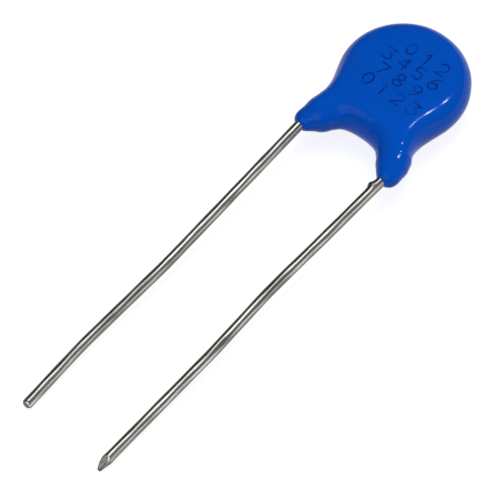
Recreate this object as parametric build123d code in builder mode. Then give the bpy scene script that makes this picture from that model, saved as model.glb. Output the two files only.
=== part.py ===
"""Ceramic disc capacitor: a small disc of dielectric ceramic with a fired silver electrode on each
face, a tinned copper lead soldered to each electrode, and a dipped epoxy coating over the whole
disc that runs a little way down both leads.

Millimetres. The origin is the centre of the coating's flat back face, under the disc's centre.
+Z is the disc's thickness, and the leads run along -Y. The part lies on its back, and the leads
slope down from the middle of the coating until their tips touch the same surface.
"""

from build123d import *
from math import cos, radians, sin
import os

# Ceramic disc and its electrodes
ceramic_diameter = 8.0
ceramic_thickness = 1.0
electrode_margin = 0.4  # bare ceramic left round each electrode
electrode_thickness = 0.02

# Leads
lead_diameter = 0.8
lead_pitch = 7.5
lead_shift = 0.43  # the pair of leads sits this far to the right of the disc's centre
left_free_length = 30.45
right_free_length = 31.15
inner_end_radius = 1.6  # from the disc's centre to a lead's soldered end
inner_end_angle = 40  # degrees, from +Y to the lead's own side
leave_angle = 38  # degrees, from -Y to the lead's own side
leave_clearance = 0.45  # a lead turns off the face this far outside the ceramic's edge
knee_drop = 1.7  # a lead reaches the middle plane this far above its exit
knee_radius = 1.6
knee_outset = 1.2  # there it stands this many times further out than at its exit
bevel_length = 1.0  # side cutters left the right lead's tip slanted over this length
bevel_edge = 0.12  # what is left of the wire at the end of the slant

# Slight bends that handling left in the leads: how far below the coating each is, and how far
# the wire stands to the right of its nominal line there. The last pair is the lead's tip.
left_bends = [(0.0, -0.10), (15.0, 0.12), (24.2, -0.10), (left_free_length, 0.08)]
right_bends = [(0.0, 0.12), (6.2, 0.03), (12.2, -0.13), (18.5, 0.06), (right_free_length, 0.01)]
bend_radius = 60.0

# Solder
solder_film = 0.02  # between an electrode and the lead that lies on it
solder_cap = 0.10  # over the top of the lead
solder_side = 0.7  # beside the lead at the mound's foot
solder_taper = 30  # degrees
solder_margin = 0.15  # from the mound's foot to the electrode's edge

# Coating
edge_cover = 1.0  # over the ceramic's edge
coating_cover = 0.46  # over the solder mounds
exit_drop = 2.75  # from the disc's free edge down to where the leads leave the coating
exit_wall = 0.15  # round the lead at its exit
blend_radius = 1.0  # where the legs flow into the disc

# Values worked out from those above
lead_radius = lead_diameter / 2
electrode_diameter = ceramic_diameter - 2 * electrode_margin
body_diameter = ceramic_diameter + 2 * edge_cover
body_radius = body_diameter / 2
wire_height = ceramic_thickness / 2 + electrode_thickness + solder_film + lead_radius
half_thickness = wire_height + lead_radius + solder_cap + coating_cover
body_thickness = 2 * half_thickness
exit_y = -(body_radius + exit_drop)
left_x = lead_shift - lead_pitch / 2
right_x = lead_shift + lead_pitch / 2
leave_radius = ceramic_diameter / 2 + leave_clearance
mound_radius = lead_radius + solder_side


def across_lead(x, y):
    """A plane across a lead, centred at x, y in the disc's middle plane and facing down the lead."""
    return Plane(origin=(x, y, half_thickness), x_dir=(1, 0, 0), z_dir=(0, -1, 0))


def on_face(side, radius, angle):
    """A point over a face of the disc. side is -1 for the left lead and +1 for the right one."""
    return side * radius * sin(radians(angle)), radius * cos(radians(angle))


def lead_corners(side, nominal_x, bends):
    """The corners of a lead's centre line, from its soldered end to its tip."""
    face_height = half_thickness - side * wire_height
    free_length = bends[-1][0]
    slope = (half_thickness - lead_radius) / free_length
    corners = [
        (*on_face(side, inner_end_radius, inner_end_angle), face_height),
        (*on_face(side, leave_radius, 180 - leave_angle), face_height),
        (nominal_x + knee_outset * bends[0][1], exit_y + knee_drop, half_thickness),
    ]
    for distance, offset in bends:
        corners.append((nominal_x + offset, exit_y - distance, half_thickness - slope * distance))
    return corners


def corner_radii(bends):
    """One radius for each corner of a lead's centre line."""
    return [knee_radius, knee_radius, knee_radius] + [bend_radius] * (len(bends) - 2)


left_corners = lead_corners(-1, left_x, left_bends)
right_corners = lead_corners(1, right_x, right_bends)

# The pressed and fired disc of dielectric ceramic
with BuildPart() as ceramic_disc:
    with Locations((0, 0, half_thickness)):
        Cylinder(ceramic_diameter / 2, ceramic_thickness)

# Silver electrodes, screen printed on the faces and fired on
with BuildPart() as front_electrode:
    with BuildSketch(Plane.XY.offset(half_thickness + ceramic_thickness / 2)):
        Circle(electrode_diameter / 2)
    extrude(amount=electrode_thickness)

with BuildPart() as back_electrode:
    with BuildSketch(Plane.XY.offset(half_thickness - ceramic_thickness / 2)):
        Circle(electrode_diameter / 2)
    extrude(amount=-electrode_thickness)

# The left lead is soldered to the front electrode, and its tip was cut square
with BuildPart() as left_lead:
    with BuildLine() as left_path:
        FilletPolyline(*left_corners, radius=corner_radii(left_bends))
    with BuildSketch(Plane(origin=left_path.line @ 0, z_dir=left_path.line % 0)):
        Circle(lead_radius)
    sweep()

# The right lead is soldered to the back electrode, and its tip was cut on a slant
with BuildPart() as right_lead:
    with BuildLine() as right_path:
        FilletPolyline(*right_corners, radius=corner_radii(right_bends))
    with BuildSketch(Plane(origin=right_path.line @ 0, z_dir=right_path.line % 0)):
        Circle(lead_radius)
    sweep()
    with BuildSketch(Plane(origin=right_corners[-1], x_dir=(0, 1, 0), z_dir=(1, 0, 0))):
        with BuildLine():
            Polyline(
                (-lead_radius, bevel_edge - lead_radius),
                (0, bevel_edge - lead_radius),
                (bevel_length, lead_radius),
                (bevel_length, lead_diameter),
                (-lead_radius, lead_diameter),
                close=True,
            )
        make_face()
    extrude(amount=lead_diameter, both=True, mode=Mode.SUBTRACT)


def face_plane(side, height):
    """A plane over a face of the disc, facing away from it, height above the disc's middle."""
    return Plane(origin=(0, 0, half_thickness - side * height), x_dir=(1, 0, 0), z_dir=(0, 0, -side))


def mound_slot(side):
    """Centre and far end of the solder mound's outline, in the plane of its face."""
    foot_radius = electrode_diameter / 2 - solder_margin - mound_radius
    start = on_face(side, inner_end_radius, inner_end_angle)
    end = on_face(side, foot_radius, 180 - leave_angle)
    centre = ((start[0] + end[0]) / 2, (start[1] + end[1]) / 2)
    return [(x, -side * y) for x, y in (centre, end)]


mound_foot = ceramic_thickness / 2 + electrode_thickness
mound_height = solder_film + lead_diameter + solder_cap

# A low mound of solder joins each lead to its electrode
with BuildPart() as front_solder:
    with BuildSketch(face_plane(-1, mound_foot)):
        SlotCenterPoint(*mound_slot(-1), 2 * mound_radius)
    extrude(amount=mound_height, taper=solder_taper)
    add(left_lead.part, mode=Mode.SUBTRACT)

with BuildPart() as back_solder:
    with BuildSketch(face_plane(1, mound_foot)):
        SlotCenterPoint(*mound_slot(1), 2 * mound_radius)
    extrude(amount=mound_height, taper=solder_taper)
    add(right_lead.part, mode=Mode.SUBTRACT)

# Each leg of the coating as ellipses across the lead: distance below the disc's centre as a share
# of the way to the exit, place of the middle beside the lead, half width and half thickness
exit_radius = lead_radius + exit_wall
left_leg = [
    (0.12, 1.70, 1.50, 0.80 * half_thickness),
    (0.44, 1.24, 1.78, 0.90 * half_thickness),
    (0.64, 1.16, 1.86, 0.78 * half_thickness),
    (0.80, 0.62, 1.58, 0.64 * half_thickness),
    (0.905, 0.24, 1.02, 0.52 * half_thickness),
    (0.985, -0.08, exit_radius, exit_radius),
]
right_leg = [
    (0.12, -2.00, 1.60, 0.80 * half_thickness),
    (0.44, -1.55, 1.78, 0.90 * half_thickness),
    (0.64, -1.20, 1.72, 0.78 * half_thickness),
    (0.80, -0.40, 1.36, 0.64 * half_thickness),
    (0.91, 0.06, 0.88, 0.52 * half_thickness),
    (1.0, 0.10, exit_radius, exit_radius),
]

# The coating is one skin of epoxy: a thick disc with a full round rim, and two legs
with BuildPart() as coating:
    with BuildSketch(Plane.XZ):
        with Locations((0, half_thickness)):
            SlotOverall(body_diameter, body_thickness)
        Rectangle(body_radius, 2 * body_thickness, align=(Align.MAX, Align.CENTER), mode=Mode.SUBTRACT)
    revolve(axis=Axis.Z)
    for lead_x, leg in ((left_x, left_leg), (right_x, right_leg)):
        for share, beside, half_width, half_depth in leg:
            with BuildSketch(across_lead(lead_x + beside, share * exit_y)):
                Ellipse(half_width, half_depth)
        loft()
    joins = coating.edges().filter_by_position(Axis.Y, -body_radius - exit_drop / 2, -mound_radius)
    fillet([edge for edge in joins if edge.length > exit_wall], blend_radius)
    for piece in (ceramic_disc, front_electrode, back_electrode):
        add(piece.part, mode=Mode.SUBTRACT)
    for piece in (front_solder, back_solder, left_lead, right_lead):
        add(piece.part, mode=Mode.SUBTRACT)

pieces = {
    "ceramic_disc": ceramic_disc,
    "front_electrode": front_electrode,
    "back_electrode": back_electrode,
    "front_solder": front_solder,
    "back_solder": back_solder,
    "left_lead": left_lead,
    "right_lead": right_lead,
    "coating": coating,
}
os.makedirs("parts", exist_ok=True)
for name, piece in pieces.items():
    piece.part.label = name
    export_step(piece.part, f"parts/{name}.step")
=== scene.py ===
import math

import bmesh
import bpy
import numpy as np
from mathutils import Matrix, Vector


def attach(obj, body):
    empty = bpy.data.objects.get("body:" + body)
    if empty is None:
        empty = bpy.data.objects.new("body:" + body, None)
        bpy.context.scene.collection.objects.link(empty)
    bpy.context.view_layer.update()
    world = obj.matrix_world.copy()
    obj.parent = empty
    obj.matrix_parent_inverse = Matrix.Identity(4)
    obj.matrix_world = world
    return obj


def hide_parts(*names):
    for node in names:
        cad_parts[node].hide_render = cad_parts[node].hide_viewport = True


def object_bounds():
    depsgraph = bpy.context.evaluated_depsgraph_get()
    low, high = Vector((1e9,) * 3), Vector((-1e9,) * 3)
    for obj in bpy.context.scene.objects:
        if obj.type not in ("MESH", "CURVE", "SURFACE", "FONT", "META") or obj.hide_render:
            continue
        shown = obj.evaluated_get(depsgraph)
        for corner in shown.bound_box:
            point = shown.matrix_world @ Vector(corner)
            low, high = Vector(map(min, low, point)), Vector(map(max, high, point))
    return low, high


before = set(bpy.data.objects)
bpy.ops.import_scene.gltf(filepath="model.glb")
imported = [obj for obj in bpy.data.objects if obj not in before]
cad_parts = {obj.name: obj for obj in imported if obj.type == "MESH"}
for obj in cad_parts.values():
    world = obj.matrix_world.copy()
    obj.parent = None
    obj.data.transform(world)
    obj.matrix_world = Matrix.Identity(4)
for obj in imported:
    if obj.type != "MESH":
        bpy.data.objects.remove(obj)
cad_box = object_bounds()

# Coating. The real one is a single skin of blue epoxy, dipped over the soldered disc and cured
# while it hung by its leads, so it has a full round rim, two soft legs and a few dimples and
# drips. It is smooth and glossy, and a laser burnt shallow plain figures into the front.
MM = 0.001
MIDDLE = cad_box[1][2] / MM / 2  # height of the disc's middle plane, and half its coated thickness
DISC_RADIUS = cad_box[1][1] / MM
# A leg is three balls with round cones between them, and a web joins the roots of the two legs.
# Each ball is given as its place in the disc's middle plane and its radius.
LEFT_LEG = [((-1.84, -2.6), 1.42), ((-2.80, -5.94), 1.33), ((-3.37, -7.06), 0.84)]
RIGHT_LEG = [((2.44, -2.8), 1.34), ((4.00, -6.08), 1.22), ((4.43, -7.02), 0.86)]
WEB = [((-0.9, -4.10), 0.98), ((2.1, -4.42), 0.98)]
LEG_BEND = 0.5  # how softly a leg's two cones join
LEGS_BLEND = 0.9  # how softly the legs flow into each other,
WEB_BLEND = 1.5  # into the web
DISC_BLEND = 1.5  # and into the disc
FACE_BLEND = 0.5  # how softly they end at the height of the disc's front
ROOT_WIDTH = 0.74  # a leg's width at its root, as a share of its depth
ROOT_END_Y = -3.3  # from here the legs grow rounder
ROUNDING_LENGTH = 3.6
LUMPS = [((0.75, -4.7, 1.2), 0.30, 0.03), ((0.1, -4.6, 1.3), 0.18, 0.02),
         ((4.2, -6.2, 1.2), 0.35, 0.03), ((3.0, -2.4, 1.9), 0.45, -0.02)]  # place, radius, height
WAVINESS = 0.010
BACK_EDGE = -1.5  # the skin is even below this height from the middle plane
CELL = 0.11  # of the net that the skin is drawn on


def soft_join(first, second, softness):
    """The smaller of two distances, rounded off where they are alike."""
    overlap = np.maximum(softness - np.abs(first - second), 0) / softness
    return np.minimum(first, second) - overlap * overlap * softness / 4


def cone_distance(places, start, end):
    """Distance from places to a round cone between two balls."""
    (a, radius_a), (b, radius_b) = start, end
    a, b = np.array((*a, 0.0)), np.array((*b, 0.0))
    length = np.linalg.norm(b - a)
    along = (places - a) @ ((b - a) / length)
    beside = np.sqrt(np.maximum(((places - a) ** 2).sum(-1) - along * along, 0))
    lean = (radius_a - radius_b) / math.sqrt(length ** 2 - (radius_a - radius_b) ** 2)
    share = np.clip((along + beside * lean) / length, 0, 1)
    nearest = a + share[..., None] * (b - a)
    return np.linalg.norm(places - nearest, axis=-1) - (radius_a + (radius_b - radius_a) * share)


def skin_distance(places):
    """Distance from places, in millimetres, to the outside of the coating."""
    x, y, z = places[..., 0], places[..., 1], places[..., 2] - MIDDLE
    outward = np.hypot(x, y) - (DISC_RADIUS - MIDDLE)
    disc = np.hypot(np.maximum(outward, 0), z) - MIDDLE
    rounding = np.clip((ROOT_END_Y - y) / ROUNDING_LENGTH, 0, 1)
    width = ROOT_WIDTH + (1 - ROOT_WIDTH) * rounding * rounding * (3 - 2 * rounding)
    squeezed = np.stack([x, y, z * width], -1)
    left, right = [soft_join(cone_distance(squeezed, top, knee), cone_distance(squeezed, knee, end),
                             LEG_BEND) for top, knee, end in (LEFT_LEG, RIGHT_LEG)]
    legs = soft_join(soft_join(left, right, LEGS_BLEND), cone_distance(squeezed, *WEB), WEB_BLEND)
    distance = soft_join(disc, legs, DISC_BLEND)
    distance = -soft_join(-distance, MIDDLE - np.abs(z), FACE_BLEND)
    for place, radius, height in LUMPS:
        away = np.linalg.norm(squeezed - np.array(place), axis=-1) / radius
        distance = distance - height * np.exp(-2 * away * away)
    wave = np.sin(1.1 * x + 0.6) * np.sin(0.9 * y - 0.4) + 0.5 * np.sin(2.3 * x - 1.7 * y)
    return np.maximum(distance - WAVINESS * wave * (z > BACK_EDGE), -MIDDLE - z)


def net_of_skin():
    """A quad net over the skin: a point for each cell that the skin crosses, joined to its neighbours."""
    low, high = (-5.5, -8.6, -0.35), (5.6, 5.5, 4.2)
    axes = [np.arange(low[i], high[i], CELL) for i in range(3)]
    grid = np.stack(np.meshgrid(*axes, indexing="ij"), -1)
    inside = skin_distance(grid) < 0
    rows, columns, layers = (size - 1 for size in inside.shape)
    corners = sum(inside[i:rows + i, j:columns + j, k:layers + k].astype(int)
                  for i in (0, 1) for j in (0, 1) for k in (0, 1))
    crossed = (corners > 0) & (corners < 8)
    number = -np.ones(crossed.shape, int)
    number[crossed] = np.arange(crossed.sum())
    net_points = grid[:-1, :-1, :-1][crossed] + CELL / 2
    net_quads = []
    for axis in range(3):
        u, v = (axis + 1) % 3, (axis + 2) % 3
        i, j, k = (int(axis == other) for other in range(3))
        here = inside[:inside.shape[0] - i, :inside.shape[1] - j, :inside.shape[2] - k]
        edges = np.argwhere(here != inside[i:, j:, k:])
        edges = edges[(edges[:, u] > 0) & (edges[:, v] > 0)]
        ring = []
        for back_u, back_v in ((1, 1), (0, 1), (0, 0), (1, 0)):
            cell = edges.copy()
            cell[:, u] -= back_u
            cell[:, v] -= back_v
            ring.append(number[tuple(cell.T)])
        around = np.stack(ring, 1)
        entering = ~inside[tuple(edges.T)]
        around[entering] = around[entering][:, ::-1]
        net_quads.append(around)
    return net_points, np.concatenate(net_quads)


def slope_of_skin(places):
    """The direction in which the distance grows fastest."""
    step = 0.01
    return np.stack([(skin_distance(places + step * way) - skin_distance(places - step * way))
                     / (2 * step) for way in np.eye(3)], -1)


def onto_skin(places, rounds):
    """Moves places onto the skin along its slope."""
    for _ in range(rounds):
        slope = slope_of_skin(places)
        steepness = np.maximum((slope * slope).sum(-1), 0.2)
        places = places - (skin_distance(places) / steepness)[:, None] * slope
    return places


# The burnt figures. ROWS gives each row's figures, the middle of its first figure, and the step
# from one figure to the next. FIGURES gives their strokes, in shares of a figure's width and height.
GROOVE_DEPTH = 0.016
GROOVE_WIDTH = 0.13
FIGURE_SIZE = (0.74, 1.04)
ROWS = [("012", (-0.70, 1.80), 1.45), ("3456", (-1.75, 0.45), 1.42), ("789", (-1.20, -0.95), 1.55),
        ("0123", (-1.45, -2.32), 1.42)]
ROUND_STROKE = [(.5 + .5 * math.sin(hour * math.pi / 6), .5 + .5 * math.cos(hour * math.pi / 6))
                for hour in range(13)]
FIGURES = {
    "0": ROUND_STROKE,
    "1": [(.2, .75), (.55, 1), (.55, 0)],
    "2": [(0, .78), (.25, 1), (.75, 1), (1, .75), (.9, .5), (0, 0), (1, 0)],
    "3": [(0, 1), (1, 1), (.45, .6), (.85, .5), (1, .25), (.7, 0), (.2, 0), (0, .15)],
    "4": [(.75, 0), (.75, 1), (0, .3), (1, .3)],
    "5": [(1, 1), (.1, 1), (0, .55), (.6, .62), (1, .35), (.75, 0), (.2, 0), (0, .12)],
    "6": [(.8, 1), (.25, .7), (0, .3), (.25, 0), (.75, 0), (1, .3), (.75, .55), (.1, .42)],
    "7": [(0, 1), (1, 1), (.35, 0)],
    "8": [(.5, .52), (.1, .72), (.25, 1), (.75, 1), (.9, .72), (.5, .52), (0, .28), (.2, 0),
          (.8, 0), (1, .28), (.5, .52)],
    "9": [(.95, .6), (.3, .48), (0, .72), (.25, 1), (.75, 1), (1, .72), (.75, .3), (.2, 0)],
}


def stroke_distance(places):
    """Distance from places on the front face to the middle of the nearest burnt stroke."""
    nearest = np.full(len(places), 9.0)
    for figures, first_middle, step in ROWS:
        for column, figure in enumerate(figures):
            middle = np.array(first_middle) + (column * step, 0)
            corners = middle + (np.array(FIGURES[figure]) - 0.5) * FIGURE_SIZE
            for start, end in zip(corners, corners[1:]):
                stroke = end - start
                share = np.clip((places - start) @ stroke / (stroke @ stroke), 0, 1)
                away = np.linalg.norm(places - start - share[:, None] * stroke, axis=-1)
                nearest = np.minimum(nearest, away)
    return nearest


def on_marked_face(places):
    """True over the part of the front face that carries the figures."""
    x, y, z = places.T
    return (z > 3.0) & (x > -2.5) & (x < 3.55) & (y > -3.0) & (y < 2.5)


points, quads = net_of_skin()
mesh = bpy.data.meshes.new("epoxy_coating")
mesh.from_pydata(onto_skin(points, 4).tolist(), [], quads.tolist())
build = bmesh.new()
build.from_mesh(mesh)
for _ in range(2):  # evens out the net and lays it on the skin again
    bmesh.ops.smooth_vert(build, verts=build.verts, factor=0.5, use_axis_x=True, use_axis_y=True,
                          use_axis_z=True)
    laid = onto_skin(np.array([vert.co for vert in build.verts]), 2)
    for vert, place in zip(build.verts, laid):
        vert.co = place
marked = on_marked_face(np.array([vert.co for vert in build.verts]))
marked_edges = [edge for edge in build.edges if all(marked[vert.index] for vert in edge.verts)]
bmesh.ops.subdivide_edges(build, edges=marked_edges, cuts=2, use_grid_fill=True)
laid = onto_skin(np.array([vert.co for vert in build.verts]), 2)
front = on_marked_face(laid)
burn = np.zeros(len(laid))
burn[front] = np.clip(1.35 - 2 * stroke_distance(laid[front, :2]) / GROOVE_WIDTH, 0, 1) ** 0.8
laid = laid - slope_of_skin(laid) * (burn * GROOVE_DEPTH)[:, None]
for vert, place in zip(build.verts, laid):
    vert.co = Vector(place) * MM
bmesh.ops.recalc_face_normals(build, faces=build.faces)
for face in build.faces:
    face.smooth = True
build.to_mesh(mesh)
build.free()
mesh.attributes.new("burnt", "FLOAT", "POINT").data.foreach_set("value", burn.astype(np.float32))
epoxy_coating = bpy.data.objects.new("epoxy_coating", mesh)
bpy.context.scene.collection.objects.link(epoxy_coating)


def new_finish(name):
    """A new node material, its node tree and its surface shader."""
    made = bpy.data.materials.new(name)
    made.use_nodes = True
    return made, made.node_tree, made.node_tree.nodes["Principled BSDF"]


def node(tree, kind, **sockets):
    """A node with its sockets set."""
    made = tree.nodes.new(kind)
    for name, value in sockets.items():
        made.inputs[name.replace("_", " ")].default_value = value
    return made


def spots(tree, scale, stretch=(1, 1, 1), detail=3.0):
    """Noise over the piece, in object coordinates, stretched along its axes."""
    where = node(tree, "ShaderNodeTexCoord")
    fit = node(tree, "ShaderNodeMapping", Scale=stretch)
    noise = node(tree, "ShaderNodeTexNoise", Scale=scale, Detail=detail)
    tree.links.new(where.outputs["Object"], fit.inputs["Vector"])
    tree.links.new(fit.outputs["Vector"], noise.inputs["Vector"])
    return noise.outputs["Fac"]


def at_each_point(tree, name):
    """A value that the mesh carries at each of its points."""
    made = tree.nodes.new("ShaderNodeAttribute")
    made.attribute_name = name
    return made.outputs["Fac"]


def reckon(tree, operation, *terms):
    """A sum on values. Each term is another node's output or a plain number."""
    made = tree.nodes.new("ShaderNodeMath")
    made.operation = operation
    for term, socket in zip(terms, made.inputs):
        if isinstance(term, float):
            socket.default_value = term
        else:
            tree.links.new(term, socket)
    return made.outputs[0]


def spread(tree, source, before, after):
    """Carries a value from one range over to another."""
    made = node(tree, "ShaderNodeMapRange", From_Min=before[0], From_Max=before[1],
                To_Min=after[0], To_Max=after[1])
    tree.links.new(source, made.inputs["Value"])
    return made.outputs["Result"]


def ramp(tree, source, stops):
    """Turns a value into a colour."""
    made = tree.nodes.new("ShaderNodeValToRGB")
    made.color_ramp.elements[0].position, made.color_ramp.elements[0].color = stops[0]
    made.color_ramp.elements[1].position, made.color_ramp.elements[1].color = stops[-1]
    for position, colour in stops[1:-1]:
        made.color_ramp.elements.new(position).color = colour
    tree.links.new(source, made.inputs["Fac"])
    return made.outputs["Color"]


def relief(tree, shader, source, strength, depth):
    """Fine unevenness that only the light sees."""
    made = node(tree, "ShaderNodeBump", Strength=strength, Distance=depth)
    tree.links.new(source, made.inputs["Height"])
    tree.links.new(made.outputs["Normal"], shader.inputs["Normal"])


EPOXY_BLUE = (0.0004, 0.120, 0.765, 1)
EPOXY_DEEP = (0.0003, 0.110, 0.715, 1)
BURNT_BLUE = (0.0020, 0.018, 0.230, 1)
EPOXY_ROUGHNESS = (0.07, 0.17)
epoxy, tree, shader = new_finish("blue_epoxy")
cloudy = ramp(tree, spots(tree, 260.0), [(0.35, EPOXY_DEEP), (0.65, EPOXY_BLUE)])
patchy = spread(tree, spots(tree, 1000.0), (0.35, 0.60), (0.36, 0.95))
figure_mix = tree.nodes.new("ShaderNodeMix")
figure_mix.data_type = "RGBA"
plain, figured = [socket for socket in figure_mix.inputs if socket.type == "RGBA"]
tree.links.new(reckon(tree, "MULTIPLY", at_each_point(tree, "burnt"), patchy),
               figure_mix.inputs["Factor"])
tree.links.new(cloudy, plain)
figured.default_value = BURNT_BLUE
mixed = [socket for socket in figure_mix.outputs if socket.type == "RGBA"]
tree.links.new(mixed[0], shader.inputs["Base Color"])
shader.inputs["Specular IOR Level"].default_value = 0.09
tree.links.new(spread(tree, spots(tree, 900.0), (0, 1), EPOXY_ROUGHNESS), shader.inputs["Roughness"])
relief(tree, shader, spots(tree, 1400.0, detail=2.0), 0.10, 0.00006)
epoxy_coating.data.materials.append(epoxy)
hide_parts("coating")
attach(epoxy_coating, "root")

# Leads. Each is a stiff round copper wire, drawn, hot tinned and soldered to the disc before the
# dip. Handling has bent both a little, the left tip was cut square and the right tip was nipped
# by side cutters, which left a slanted face with a flattened end.
LEAD_RADIUS = 0.4
LEAD_PITCH = 7.5
LEAD_SHIFT = 0.43  # the pair of leads sits this far to the right of the disc's centre
EXIT_Y = -(DISC_RADIUS + 2.75)  # where the leads leave the coating
# How far the wire stands beside its nominal line, and how far below the exit that is
LEFT_RUN = [(-0.10, 0.0), (0.12, 15.0), (-0.10, 24.2), (0.08, 30.45)]
RIGHT_RUN = [(0.12, 0.0), (0.03, 6.2), (-0.13, 12.2), (0.06, 18.5), (0.01, 31.15)]
OVER_FACE = 0.94  # from the disc's middle plane to the wire that lies on its face
INNER_END = (1.6, 40)  # distance from the disc's centre, and degrees from +Y
LEAVES_FACE = (4.45, 38)  # the same, but degrees from -Y
KNEE_DROP = 1.7  # a lead reaches the middle plane this far above its exit,
KNEE_OUTSET = 1.2  # this many times as far out as at its exit
KNEE_RADIUS = 1.6
BEND_RADIUS = 60
SIDES = 40
RING_STEP = 0.12
# The tin is painted darker on the wire's flanks, away from the side that faces the light: painted shade.
LIT_ANGLE = 2.02  # round the wire, in radians, to the side that looks up and a little to the right
LIT_REACH = 24  # degrees on either side of it that stay bright
LIT_FADE = 36  # degrees over which painted shade darkens the tin beyond that


def lead_line(side, run):
    """A lead's line: over the disc's face, through the leg and down to the floor."""
    nominal = LEAD_SHIFT + side * LEAD_PITCH / 2
    height, length = MIDDLE - side * OVER_FACE, run[-1][1]
    end_turn, leave_turn = math.radians(INNER_END[1]), math.radians(LEAVES_FACE[1])
    corners = [
        (side * INNER_END[0] * math.sin(end_turn), INNER_END[0] * math.cos(end_turn), height),
        (side * LEAVES_FACE[0] * math.sin(leave_turn), -LEAVES_FACE[0] * math.cos(leave_turn), height),
        (nominal + KNEE_OUTSET * run[0][0], EXIT_Y + KNEE_DROP, MIDDLE)]
    for beside, down in run:
        corners.append((nominal + beside, EXIT_Y - down, MIDDLE - down * (MIDDLE - LEAD_RADIUS) / length))
    return rounded_line([Vector(corner) for corner in corners],
                        [KNEE_RADIUS] * 3 + [BEND_RADIUS] * (len(run) - 2))


def rounded_line(corners, radii):
    """Even steps along the corners' line, with each corner rounded by its radius."""
    stops = [corners[0]]
    for before, corner, after, radius in zip(corners, corners[1:], corners[2:], radii):
        back, on = (before - corner).normalized(), (after - corner).normalized()
        half = back.angle(on) / 2
        cut = radius / math.tan(half)
        centre = corner + (back + on).normalized() * (radius / math.sin(half))
        first, last = corner + back * cut - centre, corner + on * cut - centre
        steps = max(2, int(first.angle(last) * radius / RING_STEP))
        stops += [centre + first.lerp(last, i / steps).normalized() * radius for i in range(steps + 1)]
    stops.append(corners[-1])
    lengths = np.cumsum([0] + [(b - a).length for a, b in zip(stops, stops[1:])])
    wanted = np.linspace(0, lengths[-1], int(lengths[-1] / RING_STEP) + 1)
    return np.stack([np.interp(wanted, lengths, [stop[i] for stop in stops]) for i in range(3)], 1)


def wire(name, line, shape, cut_tip=None):
    """A tube of rings along a line. shape says how far out each point of a ring lies, and cut_tip
    moves the rings' points at the tip."""
    along = np.gradient(line, axis=0)
    along /= np.linalg.norm(along, axis=1)[:, None]
    across = np.cross(along, (0, 0, 1))
    across /= np.linalg.norm(across, axis=1)[:, None]
    upward = np.cross(across, along)
    angle = np.linspace(0, 2 * math.pi, SIDES, endpoint=False)
    steps = np.linalg.norm(np.diff(line, axis=0), axis=1)
    from_tip = np.append(steps[::-1].cumsum()[::-1], 0)
    size = shape(angle[None, :], from_tip[:, None])[..., None]
    ring = (line[:, None] + across[:, None] * (np.cos(angle)[None, :, None] * size)
            + upward[:, None] * (np.sin(angle)[None, :, None] * size))
    if cut_tip:
        ring = cut_tip(ring, line)
    count = len(line)
    verts = [Vector(place) * MM for place in ring.reshape(-1, 3)]
    faces = [(i * SIDES + j, i * SIDES + (j + 1) % SIDES, (i + 1) * SIDES + (j + 1) % SIDES,
              (i + 1) * SIDES + j) for i in range(count - 1) for j in range(SIDES)]
    faces += [tuple(range(SIDES))[::-1], tuple((count - 1) * SIDES + j for j in range(SIDES))]
    mesh = bpy.data.meshes.new(name)
    mesh.from_pydata(verts, [], faces)
    mesh.validate()
    # Painted shade: each point of a ring carries how far its colour is darkened, by how far it turns from
    # the lit side.
    turned_away = np.abs(np.degrees(np.angle(np.exp(1j * (angle - LIT_ANGLE)))))
    flank_shade = np.tile(np.clip((turned_away - LIT_REACH) / LIT_FADE, 0, 1), count)
    mesh.attributes.new("flank_shade", "FLOAT", "POINT").data.foreach_set("value", flank_shade.astype(np.float32))
    for face in mesh.polygons:
        face.use_smooth = len(face.vertices) == 4
    made = bpy.data.objects.new(name, mesh)
    bpy.context.scene.collection.objects.link(made)
    return made


TIP_ROUNDING = 0.16
TIP_WIDTH = 0.74  # what the rounding leaves of the left tip's width
BEAD_PLACE = 30.45  # of the bead of tin, from the right tip
BEAD_LENGTH = 0.26
BEAD_HEIGHT = 0.17
PINCH_PLACE = 13.3  # of the flat spot that pliers left, from the right tip
PINCH_LENGTH = 0.8
PINCH_DEPTH = 0.035
CUT_LENGTH = 1.0
CUT_LOW, CUT_HIGH = 0.12, 0.80  # the slant runs between these heights over the floor
SPREAD_LENGTH = 1.5  # the cutters widened the wire this far up,
SPREAD = 0.12  # by this share,
TONGUE_LENGTH = 0.9  # and left the end as a tongue this long,
TONGUE = 0.62  # narrower by this share


def left_shape(angle, from_tip):
    """Almost round, a little oval in places, and rounded over at its square-cut tip."""
    size = LEAD_RADIUS * (1 + 0.012 * np.sin(2 * angle + from_tip * 0.7) * np.sin(from_tip * 0.35)
                          + 0.010 * np.sin(from_tip * 1.9 + 3 * angle))
    inward = 1 - np.clip(from_tip / TIP_ROUNDING, 0, 1)
    return size * (TIP_WIDTH + (1 - TIP_WIDTH) * np.sqrt(1 - inward ** 2))


def right_shape(angle, from_tip):
    """Almost round, with a bead of tin on its inner side near the coating and one flat spot."""
    size = LEAD_RADIUS * (1 + 0.014 * np.sin(2 * angle - from_tip * 0.6) * np.sin(from_tip * 0.4)
                          + 0.010 * np.sin(from_tip * 1.7 + 3 * angle + 1))
    bead = np.exp(-((from_tip - BEAD_PLACE) / BEAD_LENGTH) ** 2)
    pinch = np.exp(-((from_tip - PINCH_PLACE) / PINCH_LENGTH) ** 2)
    return (size + BEAD_HEIGHT * bead * np.clip(np.cos(angle - 0.35), 0, 1) ** 2
            - PINCH_DEPTH * pinch * np.clip(np.cos(angle - 2.2), 0, 1) ** 6)


def slanted_tip(ring, line):
    """Cuts the tip on a slant whose long side is at the bottom, and spreads the metal there."""
    tip_x, tip_y = line[-1, :2]
    x, y, z = ring[..., 0], ring[..., 1], ring[..., 2]
    cut_y = tip_y + np.clip((z - CUT_LOW) / (CUT_HIGH - CUT_LOW), 0, 1) * CUT_LENGTH
    wider = SPREAD * np.clip(1 - (y - tip_y) / SPREAD_LENGTH, 0, 1)
    narrower = TONGUE * np.clip(1 - (y - tip_y) / TONGUE_LENGTH, 0, 1)
    return np.stack([tip_x + (x - tip_x) * (1 + wider - narrower), np.maximum(y, cut_y), z], -1)


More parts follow.
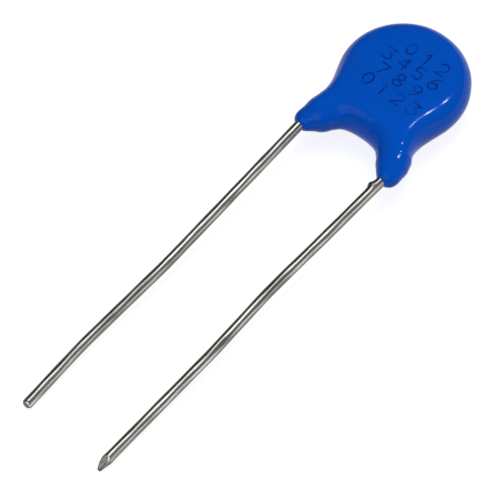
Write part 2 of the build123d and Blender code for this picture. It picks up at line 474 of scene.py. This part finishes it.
left_wire = wire("left_wire", lead_line(-1, LEFT_RUN), left_shape)
right_wire = wire("right_wire", lead_line(1, RIGHT_RUN), right_shape, slanted_tip)

# The middle tin colour serves the die's darker streaks and painted shade alike; the darkest one is mostly
# painted shade on the flanks.
TIN_LIGHT = (0.78, 0.77, 0.73, 1)
TIN_DULL_AND_SHADED = (0.50, 0.49, 0.45, 1)
TIN_IN_SHADE = (0.16, 0.157, 0.135, 1)
TIN_ROUGHNESS = (0.24, 0.11)
# How far painted shade darkens the flanks
FLANK_SHADING = -0.52
DRAWN = (6.0, 0.25, 6.0)  # streaks along the wire, as the drawing die left them
tin, tree, shader = new_finish("tinned_copper")
shader.inputs["Metallic"].default_value = 1.0
# The die's streaks, darkened on the flanks by painted shade.
streaks_and_shade = reckon(tree, "MULTIPLY_ADD", at_each_point(tree, "flank_shade"), FLANK_SHADING,
                 spots(tree, 900.0, stretch=DRAWN, detail=4.0))
tree.links.new(ramp(tree, streaks_and_shade, [(0.20, TIN_IN_SHADE), (0.38, TIN_DULL_AND_SHADED), (0.55, TIN_LIGHT)]),
               shader.inputs["Base Color"])
tree.links.new(spread(tree, spots(tree, 700.0, stretch=(1.0, 0.3, 1.0)), (0.3, 0.7), TIN_ROUGHNESS),
               shader.inputs["Roughness"])
relief(tree, shader, spots(tree, 1500.0, stretch=(1.5, 0.35, 1.5)), 0.35, 0.00005)
# The two cut faces are the same sheared metal in a shaded and a lit copy: the left one is painted darker
# as painted shade, the right one painted lighter as painted light.
CUT_SHADED = [(0.35, (0.055, 0.053, 0.048, 1)), (0.65, (0.16, 0.155, 0.14, 1))]
CUT_LIT = [(0.35, (0.22, 0.215, 0.20, 1)), (0.65, (0.44, 0.43, 0.40, 1))]
for piece, cad_node, stops in ((left_wire, "left_lead", CUT_SHADED),
                               (right_wire, "right_lead", CUT_LIT)):
    sheared, tree, shader = new_finish(cad_node + "_cut")
    shader.inputs["Metallic"].default_value = 1.0
    shader.inputs["Roughness"].default_value = 0.5
    tree.links.new(ramp(tree, spots(tree, 3000.0, stretch=(1, 1, 0.3)), stops),
                   shader.inputs["Base Color"])
    piece.data.materials.append(tin)
    piece.data.materials.append(sheared)
    piece.data.polygons[-1].material_index = 1
    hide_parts(cad_node)
    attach(piece, "root")

# Inside the coating. The pressed and fired disc of dielectric ceramic, its two fired silver
# electrodes and the solder that holds the leads on them. The coating hides them all.
CERAMIC = [(0.3, (0.42, 0.33, 0.24, 1)), (0.7, (0.52, 0.43, 0.33, 1))]
SILVER = [(0.3, (0.62, 0.61, 0.58, 1)), (0.7, (0.80, 0.79, 0.76, 1))]
SOLDER = [(0.3, (0.40, 0.40, 0.41, 1)), (0.7, (0.62, 0.62, 0.63, 1))]
for finish_name, metallic, roughness, stops, grain, cad_nodes in (
        ("dielectric_ceramic", 0.0, 0.75, CERAMIC, 1500.0, ["ceramic_disc"]),
        ("fired_silver", 1.0, 0.42, SILVER, 2500.0, ["front_electrode", "back_electrode"]),
        ("solder", 1.0, 0.30, SOLDER, 1200.0, ["front_solder", "back_solder"])):
    finish, tree, shader = new_finish(finish_name)
    shader.inputs["Metallic"].default_value = metallic
    shader.inputs["Roughness"].default_value = roughness
    tree.links.new(ramp(tree, spots(tree, grain), stops), shader.inputs["Base Color"])
    relief(tree, shader, spots(tree, grain), 0.3, 0.00003)
    for name in cad_nodes:
        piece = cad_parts[name]
        piece.data.materials.clear()
        piece.data.materials.append(finish)

# Floor. A wide sheet of matt white board. It is lit as paper and shows as white to the camera and
# to whatever mirrors it, while it still darkens under the part.
FLOOR_SIZE = 6.0
BOARD = [(0.3, (0.80, 0.80, 0.80, 1)), (0.7, (0.82, 0.82, 0.82, 1))]
GLOW = 0.84  # on top of the light that the board sends back
bpy.ops.mesh.primitive_plane_add(size=FLOOR_SIZE, location=(0, 0, 0))
floor = bpy.context.object
floor.name = "floor"
board, tree, shader = new_finish("white_board")
shader.inputs["Roughness"].default_value = 0.9
shader.inputs["Specular IOR Level"].default_value = 0.1
tree.links.new(ramp(tree, spots(tree, 3.0), BOARD), shader.inputs["Base Color"])
path = tree.nodes.new("ShaderNodeLightPath")
seen = reckon(tree, "MAXIMUM", path.outputs["Is Camera Ray"], path.outputs["Is Glossy Ray"])
seen = reckon(tree, "MAXIMUM", seen, path.outputs["Is Transmission Ray"])
shader.inputs["Emission Color"].default_value = (1, 1, 1, 1)
tree.links.new(reckon(tree, "MULTIPLY", seen, GLOW), shader.inputs["Emission Strength"])
floor.data.materials.append(board)

# Light. A dim even room, a small bright lamp behind on the right that draws the highlight on the
# disc's rim, a broad fill from the front, a softbox high on the left and a low one on the right.
ROOM = (0.80, 0.82, 0.86, 1)
ROOM_STRENGTH = 0.19
LAMP_DISTANCE = 0.9
AIM = Vector((0.0004, -0.018, 0.001))
world = bpy.data.worlds.new("room")
bpy.context.scene.world = world
world.use_nodes = True
world.node_tree.nodes["Background"].inputs["Color"].default_value = ROOM
world.node_tree.nodes["Background"].inputs["Strength"].default_value = ROOM_STRENGTH


def lamp(name, direction, size, radiance, long_axis, lit):
    """A rectangular lamp of even brightness that faces the part, its width lying along long_axis.
    It is kept to the pieces in lit, as a flag or a grid does in a studio."""
    light = bpy.data.lights.new(name, "AREA")
    light.shape, light.size, light.size_y = "RECTANGLE", size[0], size[1]
    light.energy = radiance * math.pi * size[0] * size[1]
    made = bpy.data.objects.new(name, light)
    bpy.context.scene.collection.objects.link(made)
    out = Vector(direction).normalized()
    made.location = AIM + out * LAMP_DISTANCE
    wide = (Vector(long_axis) - out * out.dot(Vector(long_axis))).normalized()
    made.rotation_mode = "QUATERNION"
    made.rotation_quaternion = Matrix((wide, out.cross(wide), out)).transposed().to_quaternion()
    group = bpy.data.collections.new(name + "_on")
    for piece in lit:
        group.objects.link(piece)
    made.light_linking.receiver_collection = group


lamp("rim_lamp", (0.385, 0.455, 0.825), (0.085, 0.09), 130.0, (0.45, 1, -0.20), [epoxy_coating])
lamp("front_fill", (0.05, -0.80, 0.58), (0.9, 0.6), 1.5, (1, 0, 0),
     [epoxy_coating, left_wire, right_wire])
lamp("softbox_left", (-0.22, 0.42, 0.86), (0.70, 0.52), 1.3, (0, 1, 0), [left_wire, right_wire, floor])
lamp("low_right", (0.90, 0.36, 0.25), (0.80, 0.36), 0.75, (0, 1, 0), [left_wire, right_wire, floor])

# Camera. It looks down on the part from the front right with a long lens.
CAMERA_AZIMUTH = 40.24
CAMERA_ELEVATION = 55.72
CAMERA_DISTANCE = 0.600
CAMERA_AIM = Vector((0.000366, -0.01798, 0.000828))
camera = bpy.data.objects.new("camera", bpy.data.cameras.new("camera"))
bpy.context.scene.collection.objects.link(camera)
turn, rise = math.radians(CAMERA_AZIMUTH), math.radians(CAMERA_ELEVATION)
backward = Vector((math.sin(turn) * math.cos(rise), -math.cos(turn) * math.cos(rise), math.sin(rise)))
camera.location = CAMERA_AIM + backward * CAMERA_DISTANCE
camera.rotation_mode = "QUATERNION"
camera.rotation_quaternion = (-backward).to_track_quat("-Z", "Y")
camera.data.sensor_width = 36.0
camera.data.lens = 599.0
camera.data.clip_start, camera.data.clip_end = 0.01, 20.0
bpy.context.scene.camera = camera
bpy.context.scene.view_settings.view_transform = "Standard"
